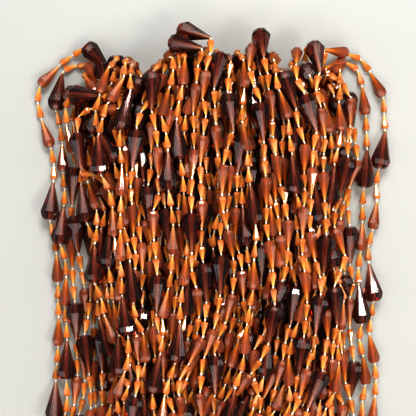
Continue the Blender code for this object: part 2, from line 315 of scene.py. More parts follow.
# %% The line of one strand
def strand_line(column, rank, rng):
    """Points about 8 mm apart from the tape to beyond the free end, and the place of the turn's end."""
    x = column_x(column)
    side = math.copysign(1, x)
    flat = COLUMN_STRANDS[column] == 1
    upper_row = 2 * COLUMN_STRANDS[column] - 1 - rank
    index = min(column, COLUMN_COUNT - 1 - column)
    y_turn = turn_y(column, rng)
    low = BAR_WIDTH / 2
    middle_z = low + upper_row * FOLD_ROW_PITCH / 2 + rank * FOLD_ROW_PITCH / 2
    stray = wave(rng, *STRAY_WAVES)
    fold_stray = wave(rng, *FOLD_WAVES)
    lift = wave(rng, *LIFT_WAVES)
    aside = rng.uniform(-CROSS_OVER, CROSS_OVER)

    def height(row, back):
        pitch = ROW_PITCH + (FOLD_ROW_PITCH - ROW_PITCH) * (1 - smooth(back / FOLD_HEAP_REACH))
        return low + row * pitch

    root_z = TAPE_THICKNESS / 2 + rank * TAPE_LAYER_PITCH
    points = [(x, HEADING_Y - ROOT_STUB, root_z), (x, HEADING_Y + ROOT_STUB, root_z)]
    y = HEADING_Y + FIRST_POINT
    swing, swing_reach = SWINGS.get((column, rank), (0, 1))
    loop = LOOPS.get((column, rank), ())
    run_end = HALF_LENGTH - loop[0][1] * MM if loop else y_turn
    while y < run_end:
        calm = smooth((y - HEADING_Y) / LOWER_CALM) * smooth((y_turn - y) / LOWER_CALM)
        points.append((x + LOWER_STRAY * stray(y) * calm, y, height(rank, y_turn - y)))
        y += LINE_STEP
    radius = (upper_row - rank) * FOLD_ROW_PITCH / 2
    for across, down, up in loop:
        points.append((across * MM, HALF_LENGTH - down * MM, up * MM))
    for step in range(0 if loop else TURN_STEPS + 1):
        angle = math.pi * step / TURN_STEPS
        ahead = y_turn + radius * math.sin(angle)
        share = (1 - math.cos(angle)) / 2
        across = x + x * (fan(y_turn) - 1) * share + STRAY_FOLD * fold_stray(angle * radius) * share
        points.append((across + swing * smooth(2 * share), ahead, middle_z - radius * math.cos(angle)))
    turn_end = len(points) - 1
    back = LINE_STEP + y_turn - points[-1][1]
    for across, down in DETOURS.get((column, rank), ()):
        back = y_turn - (HALF_LENGTH - down * MM)
        row = upper_row - COLUMN_STRANDS[column] + rows_beneath(abs(across * MM))
        points.append((across * MM, y_turn - back, height(row + DETOUR_RISE, back)))
    while back < RUN_BACK:
        if flat:
            points.append((side * side_distance(back, side, index), y_turn - back, low))
        else:
            y = y_turn - back
            reach = STRAY_NEAR + (STRAY_FAR - STRAY_NEAR) * smooth((back - STRAY_START) / STRAY_REACH)
            drift = reach * stray(back) * smooth(back / STRAY_IN) + aside * smooth(back / ASIDE_IN)
            drift += leaning(x * fan(y), back) + swing * (1 - smooth(back / swing_reach))
            fold_share = 1 - smooth(back / FOLD_STRAY_OUT)
            drift += STRAY_FOLD * fold_stray(math.pi * radius + back) * fold_share
            drift -= side * max(0.0, side * (x * fan(y) + drift) - SIDE_LIMIT)
            row = upper_row - COLUMN_STRANDS[column] + rows_beneath(abs(x * fan(y) + drift))
            row += (upper_row - row) * (1 - smooth(back / ROW_IN))
            points.append((x * fan(y) + drift, y, height(row, back) + UPPER_LIFT * lift(back)))
        back += LINE_STEP
    return np.array(points), turn_end


# %% [markdown]
# ## Threading the beads
#
# A bead is stored as its two ends, at the bead's own length along the strand's line.  Between beads
# there are a few millimetres of string and a knot.  Each strand is threaded both ways from one bead.
# On the strands that catch the eye that bead lies where a real one does, and on the others its place
# is drawn at random.  About half of the strands are threaded tip first.

# %% Where the threading starts
SEED = 5
# Beads whose place on a side strand is known: kind, and millimetres from the middle and back from
# the furthest fold of the end that comes first.
SIDE_ANCHORS = {
    0: ("large", -152.0, 27.5),
    1: ("middle", -156.5, 22.5),
    24: ("middle", 162.5, 28.0),
}
# The same for single strands of the heap, by column and rank.
HEAP_ANCHORS = {
    (2, 0): ("large", -106.5, 54.0),
    (3, 0): ("middle", -93.5, 71.0),
    (11, 0): ("large", -37.0, 3.0),
    (12, 0): ("large", -34.0, -9.0),
}
ANCHOR_POINTS = 9                 # points before the turn's end from which such a place is sought
LARGE_AT_FOLD = (13, 17, 21)      # columns whose large beads lie at the furthest edge
TIP_FIRST = {(0, 0): True, (1, 0): True, (24, 0): True, (2, 0): True, (3, 0): False}
TIP_FIRST.update({(column, 0): False for column in (11, 12, *LARGE_AT_FOLD)})
# Where a large bead of the other strands starts, counted from the turn's end.
EDGE_BACK, EDGE_SPREAD = 40 * MM, 16 * MM         # those at the furthest edge: this far before it
INNER_COLUMNS = (9, 17)
SECOND_START = (-10 * MM, 130 * MM)               # second strands outside the inner columns
LEFT_COLUMNS = 8
LEFT_START = (-30 * MM, 90 * MM)                  # all others of the left columns
OTHER_START = (0, 0.27)                           # and of the rest


# %% Measuring along a line
def distances(line):
    """Distance of each of a line's points from its start."""
    return np.concatenate([[0], np.cumsum(np.linalg.norm(np.diff(line, axis=0), axis=1))])


def along(line, stations):
    """Points of a line at given distances from its start."""
    travelled = distances(line)
    return np.stack([np.interp(stations, travelled, line[:, k]) for k in range(3)], axis=1)


def station_near(line, first, across, down):
    """Distance along a line, from one of its points on, where it is nearest to a place."""
    fine = np.arange(distances(line)[first], distances(line)[-1], MM)
    spot = np.array([across * MM, HALF_LENGTH - down * MM])
    return fine[np.argmin(np.linalg.norm(along(line, fine)[:, :2] - spot, axis=1))]


def first_bead(column, rank, line, turn_end, rng):
    """Kind and start of the bead that a strand is threaded from."""
    over_the_fold = distances(line)[turn_end]
    anchor = SIDE_ANCHORS.get(column) or HEAP_ANCHORS.get((column, rank))
    if anchor:
        return anchor[0], station_near(line, turn_end - ANCHOR_POINTS, *anchor[1:])
    if column in LARGE_AT_FOLD and rank < 2:
        return "large", over_the_fold - EDGE_BACK + rng.uniform(0, EDGE_SPREAD)
    if rank == 1 and (column < INNER_COLUMNS[0] or column > INNER_COLUMNS[1]):
        return "large", over_the_fold + rng.uniform(*SECOND_START)
    return "large", over_the_fold + rng.uniform(*(LEFT_START if column < LEFT_COLUMNS else OTHER_START))


# %% Thread every strand
REPEATS_DRAWN = 20                # more than a strand holds on either side of its first bead


def thread_strand(line, rng, kind, start, groups):
    """Beads in threading order both ways from one bead of a kind that starts at a known distance."""
    order = []
    for _ in range(REPEATS_DRAWN):
        order += ["large"] + ["small", "small", "middle"] * rng.choice(groups) + ["small", "small"]
    turn = order.index(kind, len(order) // 2)
    beads = [(kind, start)]
    back_turn, place = turn, start
    while True:
        back_turn -= 1
        before = order[back_turn]
        place -= rng.uniform(*KNOT_GAP) + BEADS[before][0] * MM
        if place < BARE_ROOT:
            break
        beads.insert(0, (before, place))
    place = start + BEADS[kind][0] * MM
    while True:
        turn += 1
        after = order[turn]
        place += rng.uniform(*KNOT_GAP)
        if place + BEADS[after][0] * MM > STRAND_LENGTH - TAIL:
            break
        beads.append((after, place))
        place += BEADS[after][0] * MM
    kinds = [kind for kind, _ in beads]
    lengths = np.array([BEADS[kind][0] * MM for kind in kinds])
    starts = np.array([place for _, place in beads])
    stations = np.stack([starts, starts + lengths], axis=1).ravel()
    gaps = np.append(starts[1:] - starts[:-1] - lengths[:-1], TAIL)
    return kinds, lengths, gaps, along(line, stations)


rng = random.Random(SEED)
strands = []
for column in range(COLUMN_COUNT):
    for rank in range(COLUMN_STRANDS[column]):
        line, turn_end = strand_line(column, rank, rng)
        kind, start = first_bead(column, rank, line, turn_end, rng)
        at_side = min(column, COLUMN_COUNT - 1 - column) < DARK_SIDES
        groups = GROUPS_AT_THE_SIDES if at_side else GROUPS_BETWEEN_LARGE
        kinds, lengths, gaps, ends = thread_strand(line, rng, kind, start, groups)
        strands.append(
            {
                "kinds": kinds,
                "lengths": lengths,
                "gaps": gaps,
                "ends": ends,
                "root": line[:2],
                "tip_first": TIP_FIRST.get((column, rank), rng.random() < 0.5),
            }
        )
print(sum(len(s["kinds"]) for s in strands), "beads threaded")

# %% [markdown]
# ## Letting the beads settle
#
# Beads laid on smooth lines would sink into each other.  Rigid bodies could drop them, but five
# thousand beads on strings would take long and slide away from the plain solid.  This small solver
# lets them find room the way they do on a floor: gravity pulls each bead down a little, balls along
# its axis push neighbours apart, and then every bead and every stretch of string gets its true length
# back.

# %% What the solver works with
OUTLINES = {
    # share of the length from the tip, share of the largest radius
    "large": ((0.00, 0.15), (0.80, 1.00), (0.93, 0.84), (1.00, 0.60)),
    "middle": ((0.00, 0.19), (0.80, 1.00), (0.93, 0.88), (1.00, 0.68)),
    "small": ((0.00, 0.30), (0.80, 1.00), (0.93, 0.92), (1.00, 0.68)),
}
BALLS = {
    # share of the length from the tip, and share of the largest radius
    "large": ((0.14, 0.26), (0.38, 0.52), (0.62, 0.76), (0.84, 0.92)),
    "middle": ((0.18, 0.30), (0.50, 0.62), (0.82, 0.92)),
    "small": ((0.28, 0.42), (0.74, 0.92)),
}
STEPS = 400
LIST_EVERY = 10                 # steps between two searches for near balls
FALL = 24 * MM / STEPS
FALL_ENDS = 0.85                # share of the steps by which the fall has faded out
PUSH = 0.6
LENGTH_ROUNDS = 4
LEAST_GAP = 0.8                 # share of its length to which a stretch of string may bunch up
HOME = 0.004                    # pull back towards the first lay, in the plane of the floor
MARGIN = 3 * MM
HEAP_TOP = 0.070                # beads that ride up above this are pressed down


# %% Balls that are near each other
def near_pairs(places, radii, owner):
    """Index pairs of balls that are within reach of each other, found on a grid."""
    size = 2 * radii.max() + MARGIN
    cell = np.floor((places - places.min(0)) / size).astype(np.int64)
    span = cell.max(0) + 2
    key = (cell[:, 0] * span[1] + cell[:, 1]) * span[2] + cell[:, 2]
    order = np.argsort(key, kind="stable")
    sorted_key = key[order]
    found = []
    for dx in (-1, 0, 1):
        for dy in (-1, 0, 1):
            for dz in (-1, 0, 1):
                shift = (dx * span[1] + dy) * span[2] + dz
                if shift < 0:
                    continue
                start = np.searchsorted(sorted_key, key + shift, "left")
                stop = np.searchsorted(sorted_key, key + shift, "right")
                count = stop - start
                first = np.repeat(np.arange(len(key)), count)
                offset = np.arange(count.sum()) - np.repeat(np.cumsum(count) - count, count)
                second = order[np.repeat(start, count) + offset]
                if shift == 0:
                    keep = first < second
                    first, second = first[keep], second[keep]
                apart = np.linalg.norm(places[first] - places[second], axis=1)
                keep = apart < radii[first] + radii[second] + MARGIN
                keep &= abs(owner[first] - owner[second]) > 1
                found.append(np.stack([first[keep], second[keep]]))
    return np.concatenate(found, axis=1)


# %% The solver
def settle(strands):
    """Moves the end points of all beads until they rest beside each other on the floor."""
    ends = np.concatenate([s["ends"] for s in strands])
    lengths = np.concatenate([s["lengths"] for s in strands])
    gaps = np.concatenate([s["gaps"] for s in strands])
    bead_count = len(lengths)
    tips = np.concatenate([np.full(len(s["lengths"]), s["tip_first"]) for s in strands])
    kinds = [kind for s in strands for kind in s["kinds"]]
    last = np.cumsum([len(s["lengths"]) for s in strands]) - 1
    starts = np.concatenate([[0], last[:-1] + 1])
    # Next beads on a strand are one apart in this count, and the ends of two strands more than one.
    strand_of = np.repeat(np.arange(len(strands)), np.diff(np.append(starts, bead_count)))
    owner_step = np.arange(bead_count) + 2 * strand_of
    ball_bead, ball_share, ball_radius = [], [], []
    for bead, kind in enumerate(kinds):
        for share, radius in BALLS[kind]:
            ball_bead.append(bead)
            ball_share.append(share if tips[bead] else 1 - share)
            ball_radius.append(radius * BEADS[kind][1] * MM / 2)
    ball_bead, ball_share, ball_radius = np.array(ball_bead), np.array(ball_share), np.array(ball_radius)
    near_end, far_end = 2 * ball_bead, 2 * ball_bead + 1
    near_weight = (1 - ball_share) / ((1 - ball_share) ** 2 + ball_share**2)
    far_weight = ball_share / ((1 - ball_share) ** 2 + ball_share**2)
    linked = np.ones(bead_count, bool)
    linked[last] = False
    before = np.flatnonzero(linked)
    home = ends.copy()
    roots = np.stack([s["root"][1] for s in strands])
    root_reach = np.linalg.norm(home[2 * starts] - roots, axis=1)

    def restore_lengths():
        for _ in range(LENGTH_ROUNDS):
            a, b = ends[0::2], ends[1::2]
            along_bead = b - a
            now = np.linalg.norm(along_bead, axis=1)
            fix = (0.5 * (now - lengths) / np.maximum(now, 1e-9))[:, None] * along_bead
            ends[0::2] += fix
            ends[1::2] -= fix
            here, there = 2 * before + 1, 2 * before + 2
            reach = ends[there] - ends[here]
            now = np.linalg.norm(reach, axis=1)
            wanted = np.clip(now, LEAST_GAP * gaps[before], gaps[before])
            fix = (0.5 * (now - wanted) / np.maximum(now, 1e-9))[:, None] * reach
            ends[here] += fix
            ends[there] -= fix
            reach = ends[2 * starts] - roots
            now = np.linalg.norm(reach, axis=1)
            share = np.maximum(now - root_reach, 0) / np.maximum(now, 1e-9)
            ends[2 * starts] -= share[:, None] * reach

    def spread(push, pick):
        """Adds a push on each picked ball to the two ends of its bead, averaged over its contacts."""
        total = np.zeros_like(ends)
        hits = np.zeros(len(ends))
        for end, weight in ((near_end, near_weight), (far_end, far_weight)):
            for k in range(3):
                total[:, k] += np.bincount(end[pick], weight[pick] * push[:, k], len(ends))
            hits += np.bincount(end[pick], minlength=len(ends)) * 0.5
        return total / np.maximum(1, hits**0.5)[:, None]

    for step in range(STEPS):
        places = ends[near_end] * (1 - ball_share)[:, None] + ends[far_end] * ball_share[:, None]
        if step % LIST_EVERY == 0:
            first, second = near_pairs(places, ball_radius, owner_step[ball_bead])
        away = places[first] - places[second]
        apart = np.maximum(np.linalg.norm(away, axis=1), 1e-6)
        overlap = ball_radius[first] + ball_radius[second] - apart
        hit = overlap > 0
        push = (0.5 * PUSH * overlap[hit] / apart[hit])[:, None] * away[hit]
        ends += spread(np.concatenate([push, -push]), np.concatenate([first[hit], second[hit]]))
        calm = max(0.0, 1 - step / (FALL_ENDS * STEPS))
        ends[:, 2] -= FALL * calm
        ends[:, :2] += HOME * (home - ends)[:, :2]
        restore_lengths()
        places = ends[near_end] * (1 - ball_share)[:, None] + ends[far_end] * ball_share[:, None]
        under = np.maximum(ball_radius - places[:, 2], 0)
        under -= np.maximum(places[:, 2] + ball_radius - HEAP_TOP, 0)
        sunk = np.flatnonzero(under)
        lift = np.zeros((len(sunk), 3))
        lift[:, 2] = under[sunk]
        ends += spread(lift, sunk)
    restore_lengths()
    # A bead that still dips into the floor at one of its rings is lifted out as it lies.
    steep = np.abs(ends[1::2, 2] - ends[0::2, 2]) / lengths
    for kind, (_, width, _) in BEADS.items():
        of_kind = np.array(kinds) == kind
        need = np.zeros(bead_count)
        for share, radius in OUTLINES[kind]:
            at = np.where(tips, share, 1 - share)
            height = ends[0::2, 2] * (1 - at) + ends[1::2, 2] * at
            drop = radius * width / 2 * MM * np.sqrt(1 - np.minimum(steep, 1) ** 2)
            need = np.maximum(need, drop - height)
        ends[0::2, 2] += need * of_kind
        ends[1::2, 2] += need * of_kind
    deepest = np.percentile(overlap[hit] / MM, (50, 90, 99)).round(2)
    print(f"settled: {len(ball_bead)} balls, {hit.sum()} contacts, overlaps {deepest} mm")
    print("highest end of a bead:", round(float(ends[:, 2].max()), 4))
    return ends, kinds, tips


ends, kinds, tips = settle(strands)

# %% [markdown]
# ## Colours and the node helper
#
# Colours are written as sRGB hex, as a colour picker shows them, and turned to linear light once.

# %% Helpers for materials
def linear(hex_colour):
    """sRGB hex to the linear values that shader sockets take, fully opaque."""
    values = [int(hex_colour[i:i + 2], 16) / 255 for i in (1, 3, 5)]
    return tuple(v / 12.92 if v <= 0.04045 else ((v + 0.055) / 1.055) ** 2.4 for v in values) + (1.0,)


def add_node(tree, kind, settings=None, inputs=None):
    """Adds one node with its properties and inputs; an input is a value or another node's output."""
    node = tree.nodes.new(kind)
    for name, value in (settings or {}).items():
        setattr(node, name, value)
    for name, value in (inputs or {}).items():
        if isinstance(value, bpy.types.NodeSocket):
            tree.links.new(value, node.inputs[name])
        else:
            node.inputs[name].default_value = value
    return node


MIX_A, MIX_B, MIX_RESULT = 6, 7, 2      # a Mix node's colour sockets; others have the same names
WHITE = (1.0, 1.0, 1.0, 1.0)
WAVE_REPEAT = math.tau / 20             # distance over which a Wave texture repeats at scale 1


def new_material(name):
    material = bpy.data.materials.new(name)
    material.use_nodes = True
    material.node_tree.nodes.clear()
    return material, material.node_tree


# %% [markdown]
# ## Amber acrylic
#
# The beads are injection moulded acrylic, coloured right through.  Thin plastic looks amber, thick
# plastic burgundy, because more light is lost on the way: most of the blue within a millimetre, the
# green within five, the red within twenty.  A surface colour could only paint that, but an
# absorption volume does it, from three losses per metre.  The smaller beads are also a little milky,
# so part of their light comes back from the surface, in a colour that follows the thickness: 0 is
# nothing and 1 is 20 mm.

# %% Amber acrylic
LOSS_PER_METRE = {
    # of red, green and blue light inside the plastic, which differs a little between the batches
    "large": (64.0, 152.0, 205.0),
    "middle": (84.0, 174.0, 280.0),
    "small": (82.0, 172.0, 370.0),
}
EDGE_RADIUS = 0.18 * MM                     # tumbling rounds the edges between the facets
# Share of the light that the plastic scatters back, and how much of the ramp's colour it takes.
MILKY = {"large": 0.03, "middle": 0.24, "small": 0.45}
TINT = {"large": 0.45, "middle": 1.0, "small": 1.0}
DARKEST_TONE, LIGHTEST_TONE = 0.75, 1.10    # no two beads take the dye quite alike


def amber_acrylic(kind):
    """Clear moulded acrylic of one bead size."""
    material, tree = new_material("amber_acrylic_" + kind)
    thickness = add_node(tree, "ShaderNodeAttribute", {"attribute_name": "thickness"})
    ramp = add_node(tree, "ShaderNodeValToRGB", inputs={"Fac": thickness.outputs["Fac"]})
    stops = (
        (0.10, "#FFDC9C"),
        (0.17, "#FFCC7C"),
        (0.27, "#FFB66C"),
        (0.38, "#EE9E62"),
        (0.67, "#D69884"),
        (1.0, "#7C4636"),
    )
    while len(ramp.color_ramp.elements) < len(stops):
        ramp.color_ramp.elements.new(0.5)
    for element, (place, colour) in zip(ramp.color_ramp.elements, stops):
        element.position = place
        element.color = linear(colour)
    tone = add_node(tree, "ShaderNodeAttribute", {"attribute_name": "tone"})
    shade = add_node(
        tree,
        "ShaderNodeMapRange",
        inputs={"Value": tone.outputs["Fac"], "To Min": DARKEST_TONE, "To Max": LIGHTEST_TONE},
    )
    batch = add_node(
        tree,
        "ShaderNodeHueSaturation",
        inputs={"Color": ramp.outputs["Color"], "Value": shade.outputs["Result"]},
    )
    tinted = add_node(
        tree,
        "ShaderNodeMix",
        {"data_type": "RGBA"},
        {"Factor": TINT[kind], MIX_A: WHITE, MIX_B: batch.outputs["Color"]},
    )
    soft_edge = add_node(tree, "ShaderNodeBevel", {"samples": 4}, {"Radius": EDGE_RADIUS})
    shader = add_node(
        tree,
        "ShaderNodeBsdfPrincipled",
        inputs={
            "Base Color": tinted.outputs[MIX_RESULT],
            "Normal": soft_edge.outputs["Normal"],
            "Roughness": 0.06,
            "IOR": 1.49,
            "Transmission Weight": 1 - MILKY[kind],
        },
    )
    most = max(LOSS_PER_METRE[kind])
    kept_light = tuple(1 - loss / most for loss in LOSS_PER_METRE[kind]) + (1.0,)
    volume = add_node(tree, "ShaderNodeVolumeAbsorption", inputs={"Color": kept_light, "Density": most})
    add_node(
        tree,
        "ShaderNodeOutputMaterial",
        inputs={"Surface": shader.outputs["BSDF"], "Volume": volume.outputs["Volume"]},
    )
    return material


ACRYLIC = {kind: amber_acrylic(kind) for kind in BEADS}
print("acrylics:", [material.name for material in ACRYLIC.values()])

# %% [markdown]
# ## Frosted bore
#
# Through the clear plastic one sees the hole down the middle of each bead as a pale stripe, because
# the pin that moulded it left its wall rough, and white string runs behind it.  A clear tube inside
# clear plastic would vanish, so the wall is an opaque, rough surface.  It is darker in the large
# beads, whose string is thinner than their bore.

# %% Frosted bore
BORE_COLOURS = {"large": "#C8A898", "middle": "#FFE0C8", "small": "#FFEFD8"}


def frosted_bore(kind):
    """The wall of the hole, roughened by the pin that moulded it, with the white string behind it."""
    material, tree = new_material("frosted_bore_" + kind)
    shader = add_node(
        tree,
        "ShaderNodeBsdfPrincipled",
        inputs={"Base Color": linear(BORE_COLOURS[kind]), "Roughness": 0.7, "IOR": 1.3},
    )
    add_node(tree, "ShaderNodeOutputMaterial", inputs={"Surface": shader.outputs["BSDF"]})
    return material


FROSTED = {kind: frosted_bore(kind) for kind in BEADS}
print("bore walls:", [material.name for material in FROSTED.values()])

# %% [markdown]
# ## White cotton
#
# The string is soft twisted cotton.  Its plies could be modelled as a twisted strand, but a string
# one millimetre thick shows them only as a slanting grain.  So a wave pattern across the string gives
# them relief and painted shade in the grooves between them, and a little sheen gives the fluff.

# %% White cotton
FIBRE = 0.35 * MM               # thickness of one ply of the string
PLY_SCALE = 0.05                # a wave's repeat times its scale, for plies that lie at a slant
# The dark colour is painted shade in the grooves between the plies; the light one is the cotton.
COTTON_PAINTED_SHADE, COTTON_LIGHT = "#D2C8B8", "#ECE6DC"


def white_cotton():
    """Twisted cotton string: matt, fluffy at grazing angles, with plies that shade each other."""
    material, tree = new_material("white_cotton_string")
    place = add_node(tree, "ShaderNodeTexCoord")
    plies = add_node(
        tree,
        "ShaderNodeTexWave",
        {"bands_direction": "DIAGONAL"},
        {
            "Vector": place.outputs["Object"],
            "Scale": PLY_SCALE / FIBRE,
            "Distortion": 2.0,
            "Detail": 1.0,
        },
    )
    shade = add_node(tree, "ShaderNodeValToRGB", inputs={"Fac": plies.outputs["Fac"]})
    # painted shade: the grooves between the plies are darker
    shade.color_ramp.elements[0].color = linear(COTTON_PAINTED_SHADE)
    shade.color_ramp.elements[1].color = linear(COTTON_LIGHT)
    bump = add_node(
        tree,
        "ShaderNodeBump",
        inputs={"Height": plies.outputs["Fac"], "Strength": 0.5, "Distance": 0.1 * MM},
    )
    shader = add_node(
        tree,
        "ShaderNodeBsdfPrincipled",
        inputs={
            "Base Color": shade.outputs["Color"],
            "Normal": bump.outputs["Normal"],
            "Roughness": 0.85,
            "Sheen Weight": 0.3,
        },
    )
    add_node(tree, "ShaderNodeOutputMaterial", inputs={"Surface": shader.outputs["BSDF"]})
    return material


COTTON = white_cotton()
print("string:", COTTON.name)

# %% [markdown]
# ## Woven tape
#
# The heading is a ribbed cotton tape, unbleached and washed.  A weave could be modelled yarn by yarn,
# but on a tape this small two crossed wave patterns look the same, as relief and as painted shade in
# the valleys between ribs and yarns.  They follow the cloth through its UV map, which is in metres.

# %% Woven tape
RIB = 1.6 * MM                  # ribs across the tape, drawn coarser than real ones so that they show
YARN = 0.8 * MM                 # yarns along it, drawn coarser too
PATCH = 25 * MM                 # size of the patches that washing leaves
PATCH_SHARE = 0.5               # how much the weave counts beside the patches
# The dark colour is painted shade in the weave's valleys, and the cloth of the greyer patches.
TAPE_VALLEY_SHADE_AND_PATCHES, TAPE_LIGHT = "#948A76", "#C6BDA9"


def woven_tape():
    """Ribbed cotton tape: ribs across it, finer yarns along it, painted shade between them, a little
    greyed in patches.
    """
    material, tree = new_material("woven_cotton_tape")
    lay = add_node(tree, "ShaderNodeUVMap", {"uv_map": "tape"})
    ribs = add_node(
        tree,
        "ShaderNodeTexWave",
        {"bands_direction": "X"},
        {"Vector": lay.outputs["UV"], "Scale": WAVE_REPEAT / RIB, "Distortion": 0.4},
    )
    yarns = add_node(
        tree,
        "ShaderNodeTexWave",
        {"bands_direction": "Y"},
        {"Vector": lay.outputs["UV"], "Scale": WAVE_REPEAT / YARN, "Distortion": 0.8},
    )
    weave = add_node(
        tree,
        "ShaderNodeMath",
        {"operation": "MULTIPLY"},
        {0: ribs.outputs["Fac"], 1: yarns.outputs["Fac"]},
    )
    age = add_node(
        tree,
        "ShaderNodeTexNoise",
        inputs={"Vector": lay.outputs["UV"], "Scale": 1 / PATCH, "Detail": 2.0},
    )
    mixed = add_node(
        tree,
        "ShaderNodeMath",
        {"operation": "MULTIPLY_ADD"},
        {0: weave.outputs["Value"], 1: PATCH_SHARE, 2: age.outputs["Fac"]},
    )
    # painted shade: the weave's valleys are darker; the noise adds greyer patches of cloth
    shade = add_node(tree, "ShaderNodeValToRGB", inputs={"Fac": mixed.outputs["Value"]})
    shade.color_ramp.elements[0].position = 0.3
    shade.color_ramp.elements[0].color = linear(TAPE_VALLEY_SHADE_AND_PATCHES)
    shade.color_ramp.elements[1].color = linear(TAPE_LIGHT)
    bump = add_node(
        tree,
        "ShaderNodeBump",
        inputs={"Height": weave.outputs["Value"], "Strength": 0.8, "Distance": 0.3 * MM},
    )
    shader = add_node(
        tree,
        "ShaderNodeBsdfPrincipled",
        inputs={
            "Base Color": shade.outputs["Color"],
            "Normal": bump.outputs["Normal"],
            "Roughness": 0.9,
            "Sheen Weight": 0.25,
        },
    )
    add_node(tree, "ShaderNodeOutputMaterial", inputs={"Surface": shader.outputs["BSDF"]})
    return material


TAPE_COTTON = woven_tape()
print("tape:", TAPE_COTTON.name)

# %% [markdown]
# ## One bead
#
# A drop bead is a long faceted cone from a narrow tip to its widest place, then a short faceted
# cap to a small flat base.  A cylinder with its ends scaled could give the cone, but mesh code gives
# every ring its own place and size: rings of points are bridged into flat facets.

# %% The bead
THICKEST = 20                   # millimetres of plastic that the thickness attribute counts as 1
BORE_REACH = 0.497              # of a bead's length each way, so that the bore ends just inside it
BORE_SIDES = 5


def lathe(name, rings, sides, caps):
    """Mesh of flat sided rings about Z, given as height and radius pairs from the top down."""
    mesh = bpy.data.meshes.new(name)
    piece = bmesh.new()
    rows = []
    for height, radius in rings:
        row = []
        for corner in range(sides):
            angle = math.tau * corner / sides
            row.append(piece.verts.new((radius * math.cos(angle), radius * math.sin(angle), height)))
        rows.append(row)
    for upper, lower in zip(rows, rows[1:]):
        for corner in range(sides):
            following = (corner + 1) % sides
            piece.faces.new((upper[corner], lower[corner], lower[following], upper[following]))
    if caps:
        piece.faces.new(rows[0])
        piece.faces.new(rows[-1][::-1])
    bmesh.ops.recalc_face_normals(piece, faces=piece.faces)
    piece.to_mesh(mesh)
    piece.free()
    return mesh


def bead_mesh(kind):
    """Bead along +Z with its middle at the origin and its tip up."""
    length, width, facets = BEADS[kind]
    rings = [((0.5 - share) * length * MM, radius * width / 2 * MM) for share, radius in OUTLINES[kind]]
    mesh = lathe("bead_" + kind, rings, facets, caps=True)
    thickness = mesh.attributes.new("thickness", "FLOAT", "POINT")
    depths = [radius * width / THICKEST for _, radius in OUTLINES[kind] for _ in range(facets)]
    thickness.data.foreach_set("value", depths)
    return mesh


def bore_mesh(kind):
    """The moulded hole down the middle of a bead, a little wider at the base than at the tip."""
    reach = BORE_REACH * BEADS[kind][0] * MM
    at_tip, at_base = BORES[kind]
    return lathe("bore_" + kind, [(reach, at_tip * MM), (-reach, at_base * MM)], BORE_SIDES, caps=False)


# %% [markdown]
# ## Beads on points
#
# Thousands of copied objects would be slow to handle.  A small geometry node tree puts one bead on
# every point of a cloud instead, turned and sized as the point says, and joins them all.

# %% The tree
def new_tree(name, sockets):
    """An empty geometry node tree with named inputs, each with its kind of socket."""
    tree = bpy.data.node_groups.new(name, "GeometryNodeTree")
    for socket, kind in {"Geometry": "Geometry", **sockets}.items():
        tree.interface.new_socket(socket, in_out="INPUT", socket_type="NodeSocket" + kind)
    tree.interface.new_socket("Geometry", in_out="OUTPUT", socket_type="NodeSocketGeometry")
    return tree


def instance_tree():
    tree = new_tree("place_on_points", {"Piece": "Object", "Finish": "Material"})
    entry = add_node(tree, "NodeGroupInput")
    piece = add_node(tree, "GeometryNodeObjectInfo", inputs={"Object": entry.outputs["Piece"]})
    turn = add_node(
        tree,
        "GeometryNodeInputNamedAttribute",
        {"data_type": "QUATERNION"},
        {"Name": "turn"},
    )
    size = add_node(
        tree,
        "GeometryNodeInputNamedAttribute",
        {"data_type": "FLOAT_VECTOR"},
        {"Name": "size"},
    )
    placed = add_node(
        tree,
        "GeometryNodeInstanceOnPoints",
        inputs={
            "Points": entry.outputs["Geometry"],
            "Instance": piece.outputs["Geometry"],
            "Rotation": turn.outputs["Attribute"],
            "Scale": size.outputs["Attribute"],
        },
    )
    real = add_node(
        tree,
        "GeometryNodeRealizeInstances",
        inputs={"Geometry": placed.outputs["Instances"]},
    )
    finish = add_node(
        tree,
        "GeometryNodeSetMaterial",
        inputs={"Geometry": real.outputs["Geometry"], "Material": entry.outputs["Finish"]},
    )
    add_node(tree, "NodeGroupOutput", inputs={"Geometry": finish.outputs["Geometry"]})
    return tree


PLACE_ON_POINTS = instance_tree()
print("tree:", PLACE_ON_POINTS.name, "with", len(PLACE_ON_POINTS.nodes), "nodes")


# %% Putting the tree to use
def set_input(modifier, name, value):
    """Sets a modifier's input by its socket's identifier."""
    for item in modifier.node_group.interface.items_tree:
        if item.item_type == "SOCKET" and item.in_out == "INPUT" and item.name == name:
            modifier[item.identifier] = value


def new_object(name, mesh):
    obj = bpy.data.objects.new(name, mesh)
    bpy.context.scene.collection.objects.link(obj)
    return obj


def realise(obj):
    """Gives an object its evaluated result as a plain mesh, and drops its modifiers."""
    bpy.context.view_layer.update()
    mesh = bpy.data.meshes.new_from_object(obj.evaluated_get(bpy.context.evaluated_depsgraph_get()))
    obj.modifiers.clear()
    obj.data = mesh


def place_pieces(name, model, points, turns, sizes, tones, finish):
    """One joined mesh of a small model put on many points."""
    cloud = bpy.data.meshes.new(name + "_points")
    cloud.from_pydata([tuple(p) for p in points], [], [])
    for attribute, data_type, field, values in (
        ("turn", "QUATERNION", "value", turns),
        ("size", "FLOAT_VECTOR", "vector", sizes),
        ("tone", "FLOAT", "value", tones),
    ):
        stored = cloud.attributes.new(attribute, data_type, "POINT")
        stored.data.foreach_set(field, np.array(values, np.float32).ravel())
    obj = new_object(name, cloud)
    modifier = obj.modifiers.new("place", "NODES")
    modifier.node_group = PLACE_ON_POINTS
    set_input(modifier, "Piece", model)
    set_input(modifier, "Finish", finish)
    realise(obj)
    bpy.data.objects.remove(model)
    print(name, len(points), "pieces,", sum(len(p.vertices) - 2 for p in obj.data.polygons), "triangles")
    return obj


def aimed(along_z, rng):
    """The turn that brings +Z to a direction, with a random spin about it."""
    spin = Matrix.Rotation(rng.uniform(0, math.tau), 3, "Z").to_quaternion()
    return tuple(along_z.to_track_quat("Z", "X") @ spin)


